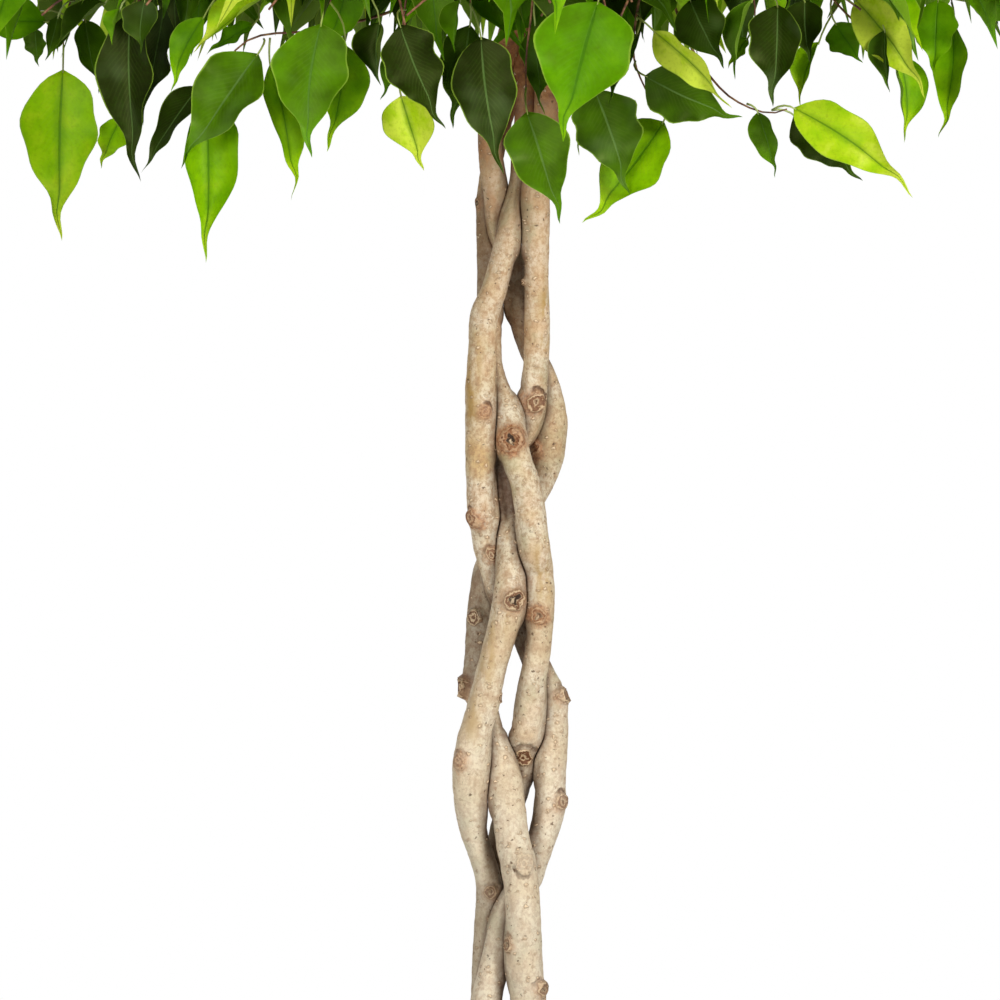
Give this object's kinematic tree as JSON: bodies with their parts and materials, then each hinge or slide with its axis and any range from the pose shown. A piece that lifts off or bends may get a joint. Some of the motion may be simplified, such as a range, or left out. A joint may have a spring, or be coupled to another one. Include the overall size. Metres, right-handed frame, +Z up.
{
  "type": "potted weeping fig",
  "caption": "Standard weeping fig with a braided trunk of woody stems and a drooping leafy crown, standing in a plain round plastic pot of soil.",
  "frame": {"origin": "centre of the pot's flat foot, where it stands on the floor", "axes": "+Z up the trunk, -Y towards the side the picture shows, +X to the right of that view"},
  "size_m": [0.6462, 0.6573, 1.3911],
  "materials": {
    "pot": "matte moulded plastic, dark grey",
    "soil": "moist crumbly potting compost",
    "bark": "smooth pale tan bark with small pores and branch scars",
    "leaf": "glossy green leaf on a thin brown twig"
  },
  "bodies": {
    "root": {"pot": "pot", "soil": "soil", "stem_a": "bark", "stem_b": "bark", "stem_c": "bark", "stem_d": "bark", "spray_01": "leaf", "spray_02": "leaf", "spray_03": "leaf", "spray_04": "leaf", "spray_05": "leaf", "spray_06": "leaf", "spray_07": "leaf", "spray_08": "leaf", "spray_09": "leaf", "spray_10": "leaf", "spray_11": "leaf", "spray_12": "leaf", "spray_13": "leaf", "spray_14": "leaf", "spray_15": "leaf", "spray_16": "leaf", "spray_17": "leaf", "spray_18": "leaf", "spray_19": "leaf", "spray_20": "leaf", "spray_21": "leaf", "spray_22": "leaf", "spray_23": "leaf", "spray_24": "leaf", "spray_25": "leaf", "spray_26": "leaf", "spray_27": "leaf", "spray_28": "leaf", "spray_29": "leaf", "spray_30": "leaf", "spray_31": "leaf", "spray_32": "leaf", "spray_33": "leaf", "spray_34": "leaf", "spray_35": "leaf", "spray_36": "leaf", "spray_37": "leaf", "spray_38": "leaf", "spray_39": "leaf", "spray_40": "leaf", "spray_41": "leaf", "spray_42": "leaf"}
  },
  "joints": []
}
